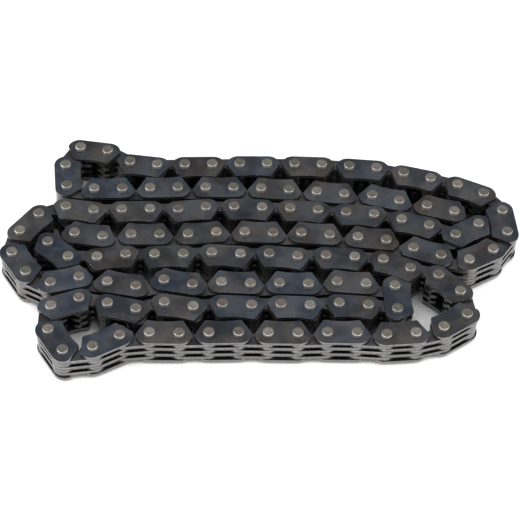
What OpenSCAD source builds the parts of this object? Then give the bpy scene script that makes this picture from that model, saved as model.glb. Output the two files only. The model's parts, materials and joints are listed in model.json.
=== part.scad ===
// Inverted-tooth cam chain, a closed loop laid on its side in eight nested rows.
// X runs to the right along the rows, Y runs from the front row to the rear row, and Z is up along the pins.
// The origin is under the middle of the pile, on the surface that the pins' lower ends stand on.
// Link k runs from pin k to pin k + 1 in walking order, clockwise seen from above. Even links are outer links
// with two guide plates, two mid plates and two pins, and odd links are inner links with three toothed plates.

/* [Chain] */
// Distance between neighbouring pin centres
pitch = 6.35; // [6:0.05:7]
// Thickness of a toothed plate
plate_t = 0.98; // [0.6:0.02:1.2]
// Thickness of a guide plate
guide_t = 0.7; // [0.5:0.05:1.2]
// Running gap between neighbouring layers of plates
layer_gap = 0.08; // [0.01:0.01:0.1]

/* [Pins] */
// Diameter of a pin
pin_d = 2.4; // [1.8:0.05:2.8]
// How far a pin stands out of the guide plate at each end
pin_stand = 0.9; // [0.4:0.05:1.4]
// Chamfer round each end of a pin
pin_chamfer = 0.3; // [0.05:0.01:0.4]
// Radial clearance of a pin in the toothed plates that turn on it
running_gap = 0.05; // [0.02:0.01:0.1]
// Radial allowance of a pin in the plates that it is pressed into
press_gap = 0.01; // [0.005:0.005:0.03]

/* [Guide plates] */
// Length of a guide plate from shoulder to shoulder
guide_l = 12.26; // [11.6:0.02:12.5]
// Height of a guide plate's back over the pin line, also the radius of its shoulders
guide_back = 2.64; // [2:0.02:2.7]
// Depth of a guide plate's tooth corners under the pin line
guide_depth = 3.55; // [3:0.05:3.8]
// How far a guide plate's end corners lie over the pin line
guide_corner = 0.22; // [0:0.02:0.6]
// Rounding of a guide plate's tooth corners
guide_corner_r = 0.4; // [0.1:0.05:0.6]
// Depth of the hollow in a guide plate's lower edge
guide_hollow = 0.3; // [0.1:0.05:0.5]
// Length of the flat left at each end of that hollow
guide_land = 0.35; // [0.1:0.05:0.8]

/* [Toothed plates] */
// Radius of a toothed plate's ends about the pins, also the height of its back over the pin line
tooth_back = 2.5; // [1.9:0.05:2.6]
// Depth of the tooth tips under the pin line
tooth_depth = 3.5; // [3:0.05:3.8]
// Rounding of the tooth tips
tip_r = 1; // [0.4:0.05:1.2]
// Angle of every flank from the line across the link
flank = 30; // [24:1:34]
// Radius of the crotch between the two teeth
crotch_r = 0.75; // [0.5:0.05:0.9]
// Depth of the crotch's crown under the pin line
crotch_depth = 0.35; // [0:0.05:0.8]

/* [Hidden] */
$fn = 96;

// Headings of the links of each stretch, in whole degrees from X, chosen by hand so that the rows lie as
// those of a real loop do when it is folded down flat. A stretch is walked from its first link to its last.
front_row_8_headings = [-162, -173, -181, -178, -175, -178, -178, -176, -176, -178, -171, -149, -169];
front_left_bow_headings = [125, 91, 23];
row_7_headings = [-10, -11, 19, -7, 10, 0, 5, 0, 9, -2, -6];
middle_back_bend_headings = [94];
row_6_headings = [178, 178, 189, 181, 184, 180, 188, 172, 199, 172, 171, 197];
left_bow_headings = [154, 125, 81, 55, 23];
row_3_headings = [-6, 5, 4, 3, 9, 4, 1, 1, -1, -3, -2, -11, -13, -22];
right_back_bend_headings = [33, 148];
row_2_tail_headings = [167, 170, 168, 180, 177];
rear_left_bow_headings = [98, 63, -6, -30];
row_1_tail_headings = [-11, -12, -14, -22, -51];
right_bow_headings = [-83, -123, -149];
row_4_headings = [171, 164, 162, 176, 177, 178, 183, 181, 184, 188, 184, 183, 188, 174];
left_back_bend_headings = [-153, -39];
row_5_headings = [2, 10, 3, 4, 7, -1, 4, -3, 5, -1, -3, -20, -14, -43];

// Headings of the loose rear strand's links, from the corner back to the pile. The link that faces each of
// them in row 2 has the opposite heading, so the two strands curl together and the corner only travels.
loose_headings = [-5, 4, 4, 5, 3, 3, 1, -1, -2];
loose = len(loose_headings);
row_2_loose_headings = [for (i = [loose - 1:-1:0]) 180 + loose_headings[i]];

// Number of the link that the walk starts with
first_link = 51;
headings = concat(
    front_row_8_headings, front_left_bow_headings, row_7_headings, middle_back_bend_headings,
    row_6_headings, left_bow_headings, row_3_headings, right_back_bend_headings,
    row_2_tail_headings, row_2_loose_headings, rear_left_bow_headings, loose_headings,
    row_1_tail_headings, right_bow_headings, row_4_headings, left_back_bend_headings, row_5_headings
);
// Two more links close the loop round the pin that the walk leaves out
link_count = len(headings) + 2;

function along(angle) = [cos(angle), sin(angle)];
function across(v) = [-v.y, v.x];

walk = [
    for (i = 0, p = [0, 0]; i <= len(headings);
        p = i < len(headings) ? p + pitch * along(headings[i]) : p, i = i + 1) p
];
// The closing pin lies one pitch from both ends of the walk, on the loop's outer side
closing_chord = walk[0] - walk[len(walk) - 1];
closing_rise = sqrt(pow(pitch, 2) - pow(norm(closing_chord) / 2, 2));
closing_pin = walk[len(walk) - 1] + closing_chord / 2
    + closing_rise * across(closing_chord) / norm(closing_chord);
laid = concat(walk, [closing_pin]);
function laid_pin(k) = laid[(k + link_count - first_link) % link_count];

guide_shoulder_x = guide_l / 2 - guide_back;
tooth_pin_x = pitch / 2;

// Box of the whole pile, over the rounded ends of every plate, from which the origin is set
end_circles = [
    for (k = [0:link_count - 1])
        let (
            a = laid_pin(k),
            b = laid_pin(k + 1),
            u = (b - a) / norm(b - a),
            outer = k % 2 == 0,
            reach = outer ? guide_shoulder_x : tooth_pin_x
        )
        for (side = [-1, 1]) [(a + b) / 2 + side * reach * u, outer ? guide_back : tooth_back]
];
pile_low = [for (axis = [0, 1]) min([for (c = end_circles) c[0][axis] - c[1]])];
pile_high = [for (axis = [0, 1]) max([for (c = end_circles) c[0][axis] + c[1]])];
pile_middle = (pile_low + pile_high) / 2;

function pin_at(k) = laid_pin(k) - pile_middle;
function link_middle(k) = (pin_at(k) + pin_at(k + 1)) / 2;
function link_heading(k) =
    let (v = pin_at(k + 1) - pin_at(k)) atan2(v.y, v.x);

layer_count = 7;
guide_layers = [0, layer_count - 1];
mid_layers = [2, 4];
inner_layers = [1, 3, 5];
toothed_count = layer_count - len(guide_layers);
stack = len(guide_layers) * guide_t + toothed_count * plate_t + (layer_count - 1) * layer_gap;
pin_l = stack + 2 * pin_stand;
function layer_t(i) = len(search(i, guide_layers)) > 0 ? guide_t : plate_t;
// Every layer but the lowest stands on the guide plate at the bottom and the toothed plates under it
function layer_z(i) = pin_stand + (i == 0 ? 0 : guide_t + layer_gap + (i - 1) * (plate_t + layer_gap));

// Rounding a corner between a flank and a lower edge moves its tangent points this far along both
function corner_set(r) = r / tan((90 + flank) / 2);

guide_flank_x = guide_shoulder_x + sqrt(pow(guide_back, 2) - pow(guide_corner, 2));
guide_foot_x = guide_flank_x - (guide_corner + guide_depth) * tan(flank);
guide_hollow_x = guide_foot_x - corner_set(guide_corner_r) - guide_land;
guide_hollow_r = (pow(guide_hollow_x, 2) + pow(guide_hollow, 2)) / (2 * guide_hollow);

// The outer flank is tangent to the end's circle, and the inner one to the crotch's circle
crotch_y = -crotch_depth - crotch_r;
tooth_outer_x = tooth_pin_x + (tooth_back - tooth_depth * sin(flank)) / cos(flank);
tooth_inner_x = (crotch_r + (tooth_depth + crotch_y) * sin(flank)) / cos(flank);
tooth_tangent = [tooth_pin_x + tooth_back * cos(flank), -tooth_back * sin(flank)];
crotch_tangent = [crotch_r * cos(flank), crotch_y + crotch_r * sin(flank)];

guide_colour = [0.27, 0.275, 0.29];
mid_colour = [0.25, 0.255, 0.27];
inner_colour = [0.23, 0.235, 0.25];
pin_colour = [0.52, 0.5, 0.47];

// The loose strands end at the corner. The loop's open pivot is the pin between it and the facing strand.
open_pin = link_count - 2;
corner_links = [open_pin - link_count, 1];
rear_strand = [corner_links[1] + 1, corner_links[1] + loose];
facing_strand = [open_pin - loose, open_pin - 1];

// Links of each fixed run, first and last, with the run's name
RUNS = [
    ["row_4", rear_strand[1] + 1, 33],
    ["row_5", 34, 48],
    ["row_8", 49, 63],
    ["row_7", 64, 77],
    ["row_6", 78, 90],
    ["row_3", 91, 109],
    ["row_2", 110, facing_strand[0] - 1]
];

function outers(range) = [for (k = [range[0]:range[1]]) if (k % 2 == 0) k];
function inners(range) = [for (k = [range[0]:range[1]]) if (k % 2 != 0) k];
loose_outers = concat(outers(rear_strand), outers(facing_strand));
loose_inners = concat(inners(rear_strand), inners(facing_strand));

function link_name(k) = str("link_", k);
GROUPS = concat(RUNS, [["corner", corner_links[0], corner_links[1]]]);
KINDS = ["guide_plates", "mid_plates", "inner_plates", "pins"];

// The outline of a rounded corner between the lower edge and the flank at +X
module rounded_foot(x, depth, r) {
    set = corner_set(r);
    translate([x - set, r - depth]) circle(r);
}

// A lower half whose lower edge and flanks meet in rounded corners, reaching up to the height of top
module foot_outline(x, depth, r, top) {
    set = corner_set(r);
    low = [x - set, -depth];
    high = [x + set * sin(flank), set * cos(flank) - depth];
    wide = [x + (depth + top) * tan(flank), top];
    polygon([
        [-low.x, low.y], low, high, wide, [-wide.x, wide.y], [-high.x, high.y]
    ]);
    for (side = [0, 1]) mirror([side, 0]) rounded_foot(x, depth, r);
}

module guide_outline() {
    difference() {
        union() {
            intersection() {
                union() {
                    for (side = [-1, 1]) translate([side * guide_shoulder_x, 0]) circle(guide_back);
                    translate([-guide_shoulder_x, 0]) square([2 * guide_shoulder_x, guide_back]);
                }
                translate([-guide_l, guide_corner]) square([2 * guide_l, guide_back]);
            }
            foot_outline(guide_foot_x, guide_depth, guide_corner_r, guide_corner);
        }
        translate([0, guide_hollow - guide_depth - guide_hollow_r]) circle(guide_hollow_r, $fn = 240);
    }
}

// One tooth at +X, from the pin line down to its rounded tip
module tooth_outline() {
    set = corner_set(tip_r);
    slant = set * [sin(flank), cos(flank)];
    outer_foot = [tooth_outer_x, -tooth_depth];
    inner_foot = [tooth_inner_x, -tooth_depth];
    polygon([
        [0, 0],
        [0, crotch_y + crotch_r],
        crotch_tangent,
        inner_foot + [-slant.x, slant.y],
        inner_foot + [set, 0],
        outer_foot - [set, 0],
        outer_foot + slant,
        tooth_tangent,
        [tooth_pin_x, 0]
    ]);
    translate(outer_foot + [-set, tip_r]) circle(tip_r);
    translate(inner_foot + [set, tip_r]) circle(tip_r);
}

module toothed_outline() {
    difference() {
        union() {
            for (side = [-1, 1]) translate([side * tooth_pin_x, 0]) circle(tooth_back);
            translate([-tooth_pin_x, 0]) square([2 * tooth_pin_x, tooth_back]);
            for (side = [0, 1]) mirror([side, 0]) tooth_outline();
        }
        translate([0, crotch_y]) circle(crotch_r);
    }
}

// Two holes, one pitch apart, taken out of a plate's outline
module drilled(gap) {
    difference() {
        children();
        for (side = [-1, 1]) translate([side * pitch / 2, 0]) circle(pin_d / 2 + gap);
    }
}

// Stands a plate's outline on each of the link's layers, with its teeth on the loop's inner side
module plates(k, layers) {
    for (layer = layers)
        translate([link_middle(k).x, link_middle(k).y, layer_z(layer)])
            rotate(link_heading(k)) linear_extrude(layer_t(layer)) children();
}

module guide_plates(links) {
    color(guide_colour) for (k = links) plates(k, guide_layers) drilled(press_gap) guide_outline();
}

module mid_plates(links) {
    color(mid_colour) for (k = links) plates(k, mid_layers) drilled(press_gap) toothed_outline();
}

module inner_plates(links) {
    color(inner_colour) for (k = links) plates(k, inner_layers) drilled(running_gap) toothed_outline();
}

module pin() {
    r = pin_d / 2;
    rotate_extrude() polygon([
        [0, 0], [r - pin_chamfer, 0], [r, pin_chamfer],
        [r, pin_l - pin_chamfer], [r - pin_chamfer, pin_l], [0, pin_l]
    ]);
}

module pins(links) {
    color(pin_colour)
        for (k = links)
            for (end = [k, k + 1]) translate([pin_at(end).x, pin_at(end).y, 0]) pin();
}

for (g = GROUPS) {
    range = [g[1], g[2]];
    guide_plates(outers(range));
    mid_plates(outers(range));
    inner_plates(inners(range));
    pins(outers(range));
}
for (k = loose_outers) {
    union() {
        guide_plates([k]);
        mid_plates([k]);
    }
    pins([k]);
}
for (k = loose_inners) {
    inner_plates([k]);
}
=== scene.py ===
"""Looks of the cam chain: softened, worn plates, turned pins, a floor, soft light and a camera."""

import json
import math

import bpy
import numpy as np
from mathutils import Matrix, Vector


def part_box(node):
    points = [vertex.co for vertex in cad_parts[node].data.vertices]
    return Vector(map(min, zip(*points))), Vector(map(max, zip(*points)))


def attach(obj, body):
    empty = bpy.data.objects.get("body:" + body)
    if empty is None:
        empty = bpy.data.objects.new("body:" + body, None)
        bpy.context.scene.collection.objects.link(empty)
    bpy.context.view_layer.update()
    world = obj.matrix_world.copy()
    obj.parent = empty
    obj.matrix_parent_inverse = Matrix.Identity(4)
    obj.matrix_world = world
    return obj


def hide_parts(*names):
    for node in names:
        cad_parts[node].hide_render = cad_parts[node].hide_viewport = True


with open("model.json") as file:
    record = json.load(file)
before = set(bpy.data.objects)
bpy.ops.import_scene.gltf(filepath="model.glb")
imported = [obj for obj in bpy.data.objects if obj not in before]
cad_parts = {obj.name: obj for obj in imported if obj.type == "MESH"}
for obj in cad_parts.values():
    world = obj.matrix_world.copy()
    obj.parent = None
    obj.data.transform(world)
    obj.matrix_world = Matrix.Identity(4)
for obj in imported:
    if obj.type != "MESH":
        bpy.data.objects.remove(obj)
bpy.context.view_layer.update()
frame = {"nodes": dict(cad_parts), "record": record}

MM = 0.001

# The camera, from a fit to the pin centres in the photograph. Its aim lies 0.11 mm further
# back along Y than in the fit, which brings the plates' outlines to their places.
PHOTO_PX = 520
FOCAL_PX = 1720.15
CAMERA_ELEVATION = math.radians(50.866)
CAMERA_ROLL = math.radians(2.434)
CAMERA_DISTANCE = 379.55 * MM
CAMERA_AIM_X = -0.2 * MM
CAMERA_AIM_Y = -2.74 * MM
CAMERA_NEAR_FAR = (0.01, 10)
SENSOR_WIDTH = 36.0

# Softened edges of the stamped plates
PLATE_EDGE = 0.16 * MM
PLATE_EDGE_STEPS = 2
WELD_DISTANCE = 0.002 * MM
SHARP_ANGLE = math.radians(40)

# A pin's end, as (distance from the axis as a share of the radius, depth under the end in mm)
PIN_END = [
    (0.0, 0.02),
    (0.1, 0.02),
    (0.45, 0.014),
    (0.72, 0.0),
    (0.87, 0.002),
    (0.92, 0.018),
    (0.955, 0.055),
    (0.98, 0.12),
    (0.993, 0.23),
    (1.0, 0.4),
]
PIN_SIDES = 48

# Levels in the stack, from the frame: where the toothed plates start, how far apart their
# layers lie, and the pins' tops
TOOTHED_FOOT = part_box("row_4_inner_plates")[0][2]
LAYER_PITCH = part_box("row_4_mid_plates")[0][2] - TOOTHED_FOOT
PIN_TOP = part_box("row_4_pins")[1][2]

# Names of what the meshes hold: each plate's own shade from 0 to 1, and each point's distance
# from its pin's axis as a share of the radius
PLATE_SHADE = "plate_shade"
PIN_REACH = "reach"

# Colours of each kind of plate: its faces, its edges, and the cool and warm heat tints
PLATE_LOOKS = {
    "guide_plate": {
        "name": "guide_steel",
        "face": (0.055, 0.058, 0.064),
        "edge": (0.27, 0.265, 0.26),
        "cool": (0.028, 0.053, 0.096),
        "warm": (0.083, 0.068, 0.052),
    },
    "mid_plate": {
        "name": "mid_steel",
        "face": (0.05, 0.05, 0.055),
        "edge": (0.245, 0.24, 0.235),
        "cool": (0.042, 0.047, 0.06),
        "warm": (0.062, 0.054, 0.05),
    },
    "inner_plate": {
        "name": "inner_steel",
        "face": (0.052, 0.049, 0.054),
        "edge": (0.255, 0.249, 0.243),
        "cool": (0.044, 0.046, 0.058),
        "warm": (0.062, 0.053, 0.053),
    },
}
BLACK = (0.0, 0.0, 0.0)
SHEEN = (0.4, 0.4, 0.41)
SMEAR_GREY = (0.17, 0.168, 0.17)
SCRATCH_GREY = (0.19, 0.19, 0.195)
# The rim's colour: worn metal, made brighter as a painted highlight
WORN_AND_HIGHLIGHT_BRIGHT = (0.95, 0.945, 0.94)

# How upright a plate's surface is from its edges to its faces, and on both sides of its rim
FACE_UPRIGHT = (0.8, 0.97)
EDGE_TO_RIM = (0.12, 0.45)
FACE_TO_RIM = (0.97, 0.85)

# Noises on the plates, as waves per metre, detail and roughness
MOTTLE = (420, 3.0, 0.5)
GRAIN = (9000, 2.0, 0.7)
TONE_WAVES = 190
PATCH_WAVES = 230

# Streaks on the plates, as a turn in degrees and waves per metre along and across it
SMEAR = (12, 130, 620)
SCRATCH = (24, 500, 9000)
CROSS_SCRATCH = (-61, 450, 8000)

# Marks of the punch down the edges, as waves per metre along X, Y and Z
DRAW = (4200, 4200, 350)

# The noises in a space stretched like that, as scale, detail and, for the marks, roughness
STREAK_NOISE = (1.0, 3.0)
DRAW_NOISE = (1.0, 3.0, 0.6)

# How far apart in their noises two plates may lie, and a plate's patches and smears from its tones
PLATE_SPREAD = 40.0
PATCH_OFFSET = 9.0
SMEAR_OFFSET = 3.0

# Ramps, as a low and a high value, and what these two become where that isn't 0 and 1
TONE_RAMP = (0.34, 0.66)
PATCH_RAMP = (0.32, 0.68)
DRAW_RAMP = (0.3, 0.7)
MOTTLE_TINT = (0.35, 0.65, 0.0, 0.35)
SMEAR_TINT = (0.56, 0.74, 0.0, 0.2)
SCRATCH_TINT = (0.62, 0.74, 0.0, 0.16)
CROSS_SCRATCH_TINT = (0.63, 0.75, 0.0, 0.16)
GRAIN_TINT = (0.35, 0.7, 0.0, 0.22)
MOTTLE_WEAR = (0.3, 0.6, 0.6, 1.0)
FACE_ROUGHNESS = (0.2, 0.8, 0.4, 0.54)
EDGE_ROUGHNESS = (0.0, 1.0, 0.3, 0.55)

# A plate's hue comes from its patches and its own shade, and its brightness from its tones and
# its own shade, in these shares
HUE_SHARES = (0.45, 0.55)
BRIGHTNESS_SHARES = (0.6, 0.4)

# How far the darkest plate goes to black and the palest one to the sheen, and how much of the
# face's colour its grain keeps
DARKEST = 0.42
PALEST = 0.16
GRAIN_KEEPS = 0.55

# The torn band of a plate's edge, as shares of a layer, and how strongly it shows
TORN_BAND = (0.34, 0.22)
TORN_STRENGTH = 0.55

# How much of its colour an edge keeps where the punch drew it darker or paler, where it is torn
# and where it is shut in, which is painted shade
DRAWN_DARK_KEEPS = 0.72
DRAWN_PALE_KEEPS = 1.12
TORN_KEEPS = 0.45
PAINTED_SHADE_KEEPS = 0.6

# Painted shade: the plates' edges darken where other links shut them in
GAP_REACH = 12 * MM
GAP_SAMPLES = 4
GAP_SHUT_OPEN = (0.2, 0.5)

# A plate's rim is bright, from wear and a painted highlight, only where it lies as open as this, so
# not round its pins
# Where the rim is shut in, it is held dark as painted shade
RIM_SHUT_OPEN = (0.5, 0.7)

# Strength and depth of the fine relief
PLATE_RELIEF = (0.35, 0.012 * MM)
PIN_RELIEF = (0.3, 0.01 * MM)

# Colours of a pin: its end from greenish to reddish, and to bright, its specks and turning
# marks, and its rim where it is clean and where it is dull
END_GREEN = (0.096, 0.101, 0.068)
END_RED = (0.146, 0.102, 0.092)
END_BRIGHT = (0.31, 0.287, 0.255)
END_SPECK = (0.08, 0.074, 0.066)
END_RING = (0.32, 0.3, 0.27)
RIM_CLEAN = (0.8, 0.78, 0.74)
RIM_DULL = (0.6, 0.58, 0.54)

# From a pin's rim to its end, as shares of the radius
RIM_TO_END = (0.955, 0.9)

# Noises on the pins: specks as above, and turning marks with their waves over the radius and
# their height beside the specks' height
SPECKLE = (3200, 3.0, 0.65)
RING_NOISE = (1.0, 2.0)
RING_WAVES = 26.0
RING_HEIGHT = 0.6

# How much the turning marks, the cast and the brightness differ from pin to pin
PIN_SPREAD = 40.0
CAST_SPREAD = 7.0
BRIGHTEST = 0.95

# Ramps on the pins, as above, and the rim's roughness
SPECK_TINT = (0.38, 0.66, 0.0, 0.6)
RING_TINT = (0.35, 0.65, 0.0, 0.25)
RIM_TINT = (0.35, 0.7, 0.0, 0.3)
RIM_ROUGHNESS = 0.44
END_ROUGHNESS = (0.3, 0.7, 0.36, 0.5)

# The floor: its half width, its own colour, the glow that makes it white to the camera, and
# how open the view up from a point of it must be for that glow
FLOOR_REACH = 3.0
FLOOR_WHITE = 0.7
FLOOR_ROUGHNESS = 0.9
FLOOR_GLOW = 0.65
SKY_REACH = 20 * MM
SKY_SAMPLES = 8
SKY_SHUT_OPEN = (0.26, 0.42)

# The sky brightens along one direction, and a dark card hangs in another
SKY_WAY = (0, -0.6, 1)
SKY_SPAN = (-0.1, 0.75)
SKY_LEVELS = (0.35, 0.9)
CARD_WAY = Vector((0, -0.77, 0.64)).normalized()
CARD_SPAN = (0.88, 0.96)
CARD_LEVEL = 0.4

# Soft boxes, as name, place, width, height and radiance
LAMPS = [
    ("soft_box_left", (-0.61, -0.22, 0.22), 0.5, 0.32, 3.6),
    ("soft_box_right", (0.61, -0.22, 0.22), 0.5, 0.32, 2.0),
    ("overhead", (0, 0.25, 0.8), 0.6, 0.6, 0.6),
]

# Outputs of Blender's nodes, by their numbers
GENERATED = 0
OBJECT_PLACE = 3
SURFACE_NORMAL = 1
ISLAND_CHANCE = 8
ATTRIBUTE_NUMBER = 2
OPENNESS = 1
Z = 2
CAMERA_RAY = 0
GLOSSY_RAY = 3
TRANSMISSION_RAY = 6


def look_from(elevation, roll, distance, aim):
    """The camera's matrix, looking towards +Y and down."""
    right = Vector((1, 0, 0))
    up = Vector((0, math.sin(elevation), math.cos(elevation)))
    back = right.cross(up)
    x = math.cos(roll) * right + math.sin(roll) * up
    y = -math.sin(roll) * right + math.cos(roll) * up
    matrix = Matrix((x, y, back)).transposed().to_4x4()
    matrix.translation = aim + distance * back
    return matrix


def add_camera():
    """The photograph's camera."""
    data = bpy.data.cameras.new("camera")
    data.sensor_width = SENSOR_WIDTH
    data.lens = FOCAL_PX / PHOTO_PX * SENSOR_WIDTH
    data.clip_start, data.clip_end = CAMERA_NEAR_FAR
    camera = bpy.data.objects.new("camera", data)
    aim = Vector((CAMERA_AIM_X, CAMERA_AIM_Y, PIN_TOP))
    camera.matrix_world = look_from(CAMERA_ELEVATION, CAMERA_ROLL, CAMERA_DISTANCE, aim)
    bpy.context.scene.collection.objects.link(camera)
    bpy.context.scene.camera = camera


def scaled(colour, factor):
    """A colour made darker or brighter."""
    return tuple(factor * c for c in colour)


class Nodes:
    """A material's node tree, with short calls for the nodes used here."""

    def __init__(self, name):
        self.material = bpy.data.materials.new(name)
        self.material.use_nodes = True
        self.tree = self.material.node_tree
        self.shader = self.tree.nodes["Principled BSDF"]
        self.output = self.tree.nodes["Material Output"]

    def put(self, target, value):
        """Link a node's output to an input, or set a plain value."""
        if isinstance(value, bpy.types.NodeSocket):
            self.tree.links.new(value, target)
        else:
            target.default_value = value

    def as_metal(self, colour, roughness, normal):
        """The material as a bare metal."""
        self.put(self.shader.inputs["Base Color"], colour)
        self.put(self.shader.inputs["Metallic"], 1.0)
        self.put(self.shader.inputs["Roughness"], roughness)
        self.put(self.shader.inputs["Normal"], normal)
        return self.material

    def add(self, kind, output=0, settings=None, **inputs):
        """A new node's output. Its inputs go by name, or by number after an underscore."""
        node = self.tree.nodes.new(kind)
        for name, value in (settings or {}).items():
            setattr(node, name, value)
        for name, value in inputs.items():
            key = int(name[1:]) if name[1:].isdigit() else name
            self.put(node.inputs[key], value)
        return node.outputs[output]

    def calc(self, operation, a, b=0.0):
        return self.add("ShaderNodeMath", settings={"operation": operation}, _0=a, _1=b)

    def times(self, a, b):
        return self.calc("MULTIPLY", a, b)

    def plus(self, a, b):
        return self.calc("ADD", a, b)

    def minus(self, a, b):
        return self.calc("SUBTRACT", a, b)

    def ramp(self, value, low, high, to_low=0.0, to_high=1.0):
        """value carried from low..high to to_low..to_high, smoothly, and held outside."""
        return self.add(
            "ShaderNodeMapRange", settings={"interpolation_type": "SMOOTHSTEP"},
            _0=value, _1=low, _2=high, _3=to_low, _4=to_high,
        )

    def blend(self, factor, a, b):
        """Number a where factor is 0 and b where it is 1."""
        return self.add("ShaderNodeMix", _0=factor, _2=a, _3=b)

    def mix(self, factor, a, b):
        """Colour a where factor is 0 and b where it is 1."""
        node = self.tree.nodes.new("ShaderNodeMix")
        node.data_type = "RGBA"
        sockets = [s for s in node.inputs if s.enabled]
        for socket, value in zip(sockets, (factor, a, b)):
            if isinstance(value, tuple):
                value = (*value, 1.0)
            self.put(socket, value)
        return next(s for s in node.outputs if s.enabled)

    def noise(self, vector, scale, detail=2.0, roughness=0.5):
        return self.add(
            "ShaderNodeTexNoise", Vector=vector, Scale=scale, Detail=detail, Roughness=roughness
        )

    def own_noise(self, vector, own, scale, detail=2.0):
        """Noise that runs on inside a plate but starts afresh from plate to plate, as own says."""
        return self.add(
            "ShaderNodeTexNoise", settings={"noise_dimensions": "4D"},
            Vector=vector, W=own, Scale=scale, Detail=detail,
        )

    def stretched(self, vector, turn, along, across):
        """vector turned about Z by turn degrees, then scaled along and across."""
        turned = self.add("ShaderNodeMapping", Vector=vector, Rotation=(0, 0, math.radians(turn)))
        return self.add("ShaderNodeMapping", Vector=turned, Scale=(along, across, 1))

    def attribute(self, name):
        """The number that the mesh holds under this name."""
        return self.add("ShaderNodeAttribute", ATTRIBUTE_NUMBER, {"attribute_name": name})

    def openness(self, samples, reach):
        """How open the view from a point is within a reach, from 0 to 1."""
        return self.add("ShaderNodeAmbientOcclusion", OPENNESS, {"samples": samples}, Distance=reach)

    def relief(self, height, strength, depth):
        return self.add("ShaderNodeBump", Strength=strength, Distance=depth, Height=height)


def plate_faces(n, at, mottle, grain, look):
    """Heat colours from cool to warm that run softly over each plate, with smears and scratches."""
    shade = n.attribute(PLATE_SHADE)
    own = n.times(shade, PLATE_SPREAD)
    tone = n.ramp(n.own_noise(at, own, TONE_WAVES), *TONE_RAMP)
    patch = n.ramp(n.own_noise(at, n.plus(own, PATCH_OFFSET), PATCH_WAVES), *PATCH_RAMP)
    smear = n.own_noise(n.stretched(at, *SMEAR), n.plus(own, SMEAR_OFFSET), *STREAK_NOISE)
    scratch = n.noise(n.stretched(at, *SCRATCH), *STREAK_NOISE)
    cross = n.noise(n.stretched(at, *CROSS_SCRATCH), *STREAK_NOISE)
    scratched = n.calc(
        "MAXIMUM", n.ramp(scratch, *SCRATCH_TINT), n.ramp(cross, *CROSS_SCRATCH_TINT)
    )
    hue = n.plus(n.times(patch, HUE_SHARES[0]), n.times(n.calc("FRACT", own), HUE_SHARES[1]))
    brightness = n.plus(n.times(tone, BRIGHTNESS_SHARES[0]), n.times(shade, BRIGHTNESS_SHARES[1]))

    plate = n.mix(hue, look["cool"], look["warm"])
    plate = n.mix(n.ramp(mottle, *MOTTLE_TINT), plate, look["face"])
    plate = n.mix(brightness, n.mix(DARKEST, plate, BLACK), n.mix(PALEST, plate, SHEEN))
    plate = n.mix(n.ramp(smear, *SMEAR_TINT), plate, SMEAR_GREY)
    plate = n.mix(scratched, plate, SCRATCH_GREY)
    return n.mix(n.ramp(grain, *GRAIN_TINT), plate, scaled(look["face"], GRAIN_KEEPS))


def plate_edges(n, draw, torn, open_gap, edge):
    """A burnished over a rougher torn band, drawn down the edge by the punch; painted shade where
    shut in.
    """
    dark, pale = scaled(edge, DRAWN_DARK_KEEPS), scaled(edge, DRAWN_PALE_KEEPS)
    side = n.mix(n.ramp(draw, *DRAW_RAMP), dark, pale)
    side = n.mix(n.times(torn, TORN_STRENGTH), side, scaled(edge, TORN_KEEPS))
    # Painted shade on the edge where other links shut it in
    return n.mix(n.ramp(open_gap, *GAP_SHUT_OPEN), scaled(edge, PAINTED_SHADE_KEEPS), side)


def plate_steel(look):
    """Stamped, heat-darkened plate: dark satin faces, brighter sheared edges with painted shade
    where shut in, and a worn rim with a painted highlight.
    """
    n = Nodes(look["name"])
    at = n.add("ShaderNodeTexCoord", OBJECT_PLACE)
    normal = n.add("ShaderNodeNewGeometry", SURFACE_NORMAL)
    upright = n.calc("ABSOLUTE", n.add("ShaderNodeSeparateXYZ", Z, _0=normal))
    is_face = n.ramp(upright, *FACE_UPRIGHT)
    is_rim = n.times(n.ramp(upright, *EDGE_TO_RIM), n.ramp(upright, *FACE_TO_RIM))

    mottle = n.noise(at, *MOTTLE)
    grain = n.noise(at, *GRAIN)
    draw = n.noise(n.add("ShaderNodeMapping", Vector=at, Scale=DRAW), *DRAW_NOISE)
    rise = n.minus(n.add("ShaderNodeSeparateXYZ", Z, _0=at), TOOTHED_FOOT)
    torn = n.ramp(n.calc("FRACT", n.calc("DIVIDE", rise, LAYER_PITCH)), *TORN_BAND)
    # How open the view is from each point: it paints shade on the edges and holds the rim's painted
    # highlight off shut-in places
    open_gap = n.openness(GAP_SAMPLES, GAP_REACH)

    face = plate_faces(n, at, mottle, grain, look)
    side = plate_edges(n, draw, torn, open_gap, look["edge"])
    # The rim: worn metal and a painted highlight, held back by painted shade where it is shut in
    worn_and_highlight = n.times(n.times(is_rim, n.ramp(mottle, *MOTTLE_WEAR)), n.ramp(open_gap, *RIM_SHUT_OPEN))
    colour = n.mix(worn_and_highlight, n.mix(is_face, side, face), WORN_AND_HIGHLIGHT_BRIGHT)
    roughness = n.blend(is_face, n.ramp(torn, *EDGE_ROUGHNESS), n.ramp(grain, *FACE_ROUGHNESS))
    height = n.plus(n.times(grain, is_face), n.times(draw, n.minus(1.0, is_face)))
    return n.as_metal(colour, roughness, n.relief(height, *PLATE_RELIEF))


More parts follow.
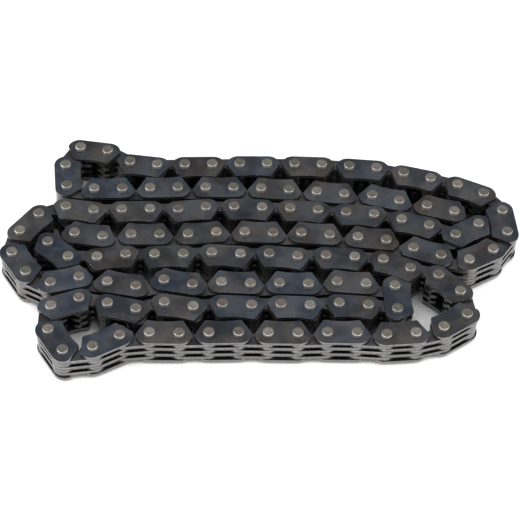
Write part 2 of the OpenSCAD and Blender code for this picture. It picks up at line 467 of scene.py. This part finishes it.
def pin_steel(name):
    """Ground pin: a warm grey end with faint turning marks, and a brighter rounded rim."""
    n = Nodes(name)
    at = n.add("ShaderNodeTexCoord", OBJECT_PLACE)
    chance = n.add("ShaderNodeNewGeometry", ISLAND_CHANCE)
    reach = n.attribute(PIN_REACH)
    is_end = n.ramp(reach, *RIM_TO_END)
    speckle = n.noise(at, *SPECKLE)
    outwards, own = n.times(reach, RING_WAVES), n.times(chance, PIN_SPREAD)
    rings = n.noise(n.add("ShaderNodeCombineXYZ", _0=outwards, _1=own), *RING_NOISE)

    end = n.mix(n.calc("FRACT", n.times(chance, CAST_SPREAD)), END_GREEN, END_RED)
    end = n.mix(n.times(chance, BRIGHTEST), end, END_BRIGHT)
    end = n.mix(n.ramp(speckle, *SPECK_TINT), end, END_SPECK)
    end = n.mix(n.ramp(rings, *RING_TINT), end, END_RING)
    rim = n.mix(n.ramp(speckle, *RIM_TINT), RIM_CLEAN, RIM_DULL)
    colour = n.mix(is_end, rim, end)
    roughness = n.blend(is_end, RIM_ROUGHNESS, n.ramp(speckle, *END_ROUGHNESS))
    height = n.plus(speckle, n.times(rings, RING_HEIGHT))
    return n.as_metal(colour, roughness, n.relief(height, *PIN_RELIEF))


def pin_axes(node):
    """Middle and half size of each pin in a CAD node."""
    left = np.array([v.co for v in node.data.vertices])
    # A pin is narrower than a third of its length, and the next one lies further off than that
    near_enough = (left[:, 2].max() - left[:, 2].min()) / 3
    found = []
    while len(left):
        off = np.hypot(left[:, 0] - left[0, 0], left[:, 1] - left[0, 1])
        near = off < near_enough
        low, high = left[near].min(0), left[near].max(0)
        found.append(((low + high) / 2, (high - low) / 2))
        left = left[~near]
    return found


def pin_mesh(name, axes):
    """Turned pins, each one lathe of the end's outline over and under a plain shank."""
    verts, faces, reach = [], [], []
    angles = np.linspace(0, 2 * math.pi, PIN_SIDES, endpoint=False)
    for middle, half in axes:
        radius, rise = half[0], half[2]
        outline = [(share, rise - depth * MM) for share, depth in PIN_END]
        outline += [(share, -z) for share, z in reversed(outline)]
        start = len(verts)
        for share, z in (outline[0], outline[-1]):
            verts.append((middle[0], middle[1], middle[2] + z))
            reach.append(share)
        rings = []
        for share, z in outline[1:-1]:
            rings.append(len(verts))
            for angle in angles:
                verts.append((
                    middle[0] + share * radius * math.cos(angle),
                    middle[1] + share * radius * math.sin(angle),
                    middle[2] + z,
                ))
                reach.append(share)
        for i in range(PIN_SIDES):
            j = (i + 1) % PIN_SIDES
            faces.append((start, rings[0] + i, rings[0] + j))
            faces.append((start + 1, rings[-1] + j, rings[-1] + i))
            for upper, lower in zip(rings, rings[1:]):
                faces.append((upper + i, lower + i, lower + j, upper + j))
    mesh = bpy.data.meshes.new(name)
    mesh.from_pydata(verts, [], faces)
    mesh.attributes.new(PIN_REACH, "FLOAT", "POINT").data.foreach_set("value", reach)
    mesh.polygons.foreach_set("use_smooth", [True] * len(faces))
    mesh.update()
    return mesh


def shades_group():
    """A geometry node group that gives every plate of a node its own shade, and its seed's name."""
    group = bpy.data.node_groups.new("plate_shades", "GeometryNodeTree")
    group.interface.new_socket("Geometry", in_out="INPUT", socket_type="NodeSocketGeometry")
    seed = group.interface.new_socket("Seed", in_out="INPUT", socket_type="NodeSocketInt")
    group.interface.new_socket("Geometry", in_out="OUTPUT", socket_type="NodeSocketGeometry")
    given = group.nodes.new("NodeGroupInput")
    made = group.nodes.new("NodeGroupOutput")
    plate = group.nodes.new("GeometryNodeInputMeshIsland")
    shade = group.nodes.new("FunctionNodeRandomValue")
    shade.data_type = "FLOAT"
    store = group.nodes.new("GeometryNodeStoreNamedAttribute")
    store.data_type = "FLOAT"
    store.domain = "FACE"
    store.inputs["Name"].default_value = PLATE_SHADE

    def in_use(sockets, name):
        """The socket of this name that belongs to the node's data type."""
        return next(s for s in sockets if s.enabled and s.name == name)

    links = group.links
    links.new(plate.outputs["Island Index"], in_use(shade.inputs, "ID"))
    links.new(given.outputs["Seed"], in_use(shade.inputs, "Seed"))
    links.new(given.outputs["Geometry"], store.inputs["Geometry"])
    links.new(in_use(shade.outputs, "Value"), in_use(store.inputs, "Value"))
    links.new(store.outputs["Geometry"], made.inputs["Geometry"])
    return group, seed.identifier


def dress_plates(node, material, shades, seed):
    """Softened edges, a shade for each plate and the plate's material on a CAD node."""
    weld = node.modifiers.new("weld", "WELD")
    weld.merge_threshold = WELD_DISTANCE
    bevel = node.modifiers.new("stamped_edge", "BEVEL")
    bevel.width = PLATE_EDGE
    bevel.segments = PLATE_EDGE_STEPS
    bevel.limit_method = "ANGLE"
    bevel.angle_limit = SHARP_ANGLE
    bevel.harden_normals = True
    group, seed_input = shades
    shade = node.modifiers.new("plate_shades", "NODES")
    shade.node_group = group
    shade[seed_input] = seed
    for slot in node.material_slots:
        slot.material = material


def replace_pins(name, node, body, material):
    """Turned pins in place of a CAD node of pins."""
    pins = bpy.data.objects.new(f"turned_{name}", pin_mesh(f"turned_{name}", pin_axes(node)))
    pins.data.materials.append(material)
    bpy.context.scene.collection.objects.link(pins)
    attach(pins, body)
    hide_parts(name)


def floor_white():
    """A white that also glows for the camera, so that the floor shows as white."""
    n = Nodes("floor_white")
    n.put(n.shader.inputs["Base Color"], (FLOOR_WHITE, FLOOR_WHITE, FLOOR_WHITE, 1))
    n.put(n.shader.inputs["Roughness"], FLOOR_ROUGHNESS)
    n.put(n.shader.inputs["Specular IOR Level"], 0.0)
    seen = n.add("ShaderNodeLightPath", CAMERA_RAY)
    for other in (GLOSSY_RAY, TRANSMISSION_RAY):
        seen = n.calc("MAXIMUM", seen, n.add("ShaderNodeLightPath", other))
    # Under the chain the floor doesn't glow, so that the gaps between the links stay dark
    seen = n.times(seen, n.ramp(n.openness(SKY_SAMPLES, SKY_REACH), *SKY_SHUT_OPEN))
    glow = n.add("ShaderNodeEmission", Color=(1, 1, 1, 1), Strength=n.times(seen, FLOOR_GLOW))
    n.put(n.output.inputs["Surface"], n.add("ShaderNodeAddShader", _0=n.shader.outputs[0], _1=glow))
    return n.material


def add_floor():
    """The floor under the chain, which shows its shadow."""
    low, high = -FLOOR_REACH, FLOOR_REACH
    corners = [(low, low, 0), (high, low, 0), (high, high, 0), (low, high, 0)]
    mesh = bpy.data.meshes.new("floor")
    mesh.from_pydata(corners, [], [(0, 1, 2, 3)])
    mesh.materials.append(floor_white())
    floor = bpy.data.objects.new("floor", mesh)
    bpy.context.scene.collection.objects.link(floor)


def add_lamp(name, place, width, height, radiance):
    """A soft box that faces the chain, as bright as radiance says when it is seen in a mirror."""
    data = bpy.data.lights.new(name, "AREA")
    data.shape = "RECTANGLE"
    data.size, data.size_y = width, height
    data.energy = radiance * math.pi * width * height
    lamp = bpy.data.objects.new(name, data)
    lamp.location = place
    lamp.rotation_euler = (-Vector(place)).to_track_quat("-Z", "Y").to_euler()
    bpy.context.scene.collection.objects.link(lamp)


def add_world():
    """A pale sky with a dark card in it, mirrored by the chain but white to the camera."""
    world = bpy.data.worlds.new("studio")
    world.use_nodes = True
    tree = world.node_tree
    way = tree.nodes.new("ShaderNodeTexCoord").outputs[GENERATED]

    def towards(direction):
        """How far a view goes along a direction."""
        dot = tree.nodes.new("ShaderNodeVectorMath")
        dot.operation = "DOT_PRODUCT"
        dot.inputs[1].default_value = direction
        tree.links.new(way, dot.inputs[0])
        return dot.outputs["Value"]

    def level(value, span):
        """A node with a smooth ramp over a span of a value."""
        node = tree.nodes.new("ShaderNodeMapRange")
        node.interpolation_type = "SMOOTHSTEP"
        node.inputs["From Min"].default_value, node.inputs["From Max"].default_value = span
        tree.links.new(value, node.inputs["Value"])
        return node

    sky = level(towards(SKY_WAY), SKY_SPAN)
    sky.inputs["To Min"].default_value, sky.inputs["To Max"].default_value = SKY_LEVELS
    card = level(towards(CARD_WAY), CARD_SPAN)
    tree.links.new(sky.outputs["Result"], card.inputs["To Min"])
    card.inputs["To Max"].default_value = CARD_LEVEL
    path = tree.nodes.new("ShaderNodeLightPath")
    seen = tree.nodes.new("ShaderNodeMath")
    seen.operation = "MAXIMUM"
    tree.links.new(card.outputs["Result"], seen.inputs[0])
    tree.links.new(path.outputs["Is Camera Ray"], seen.inputs[1])
    background = tree.nodes["Background"]
    background.inputs["Color"].default_value = (1, 1, 1, 1)
    tree.links.new(seen.outputs[0], background.inputs["Strength"])
    bpy.context.scene.world = world


add_camera()

steels = {slot: plate_steel(look) for slot, look in PLATE_LOOKS.items()}
turned = pin_steel("pin_steel")
shades = shades_group()
bodies = frame["record"]["behaviour"]["bodies"]
body_of = {name: body for body, names in bodies.items() for name in names}
for seed, part in enumerate(frame["record"]["subparts"]):
    name, slot = part["node"], part["material_slot"]
    if slot == "pin":
        replace_pins(name, frame["nodes"][name], body_of[name], turned)
    else:
        dress_plates(frame["nodes"][name], steels[slot], shades, seed)

add_floor()
add_world()
for lamp in LAMPS:
    add_lamp(*lamp)

bpy.context.scene.view_settings.view_transform = "Standard"
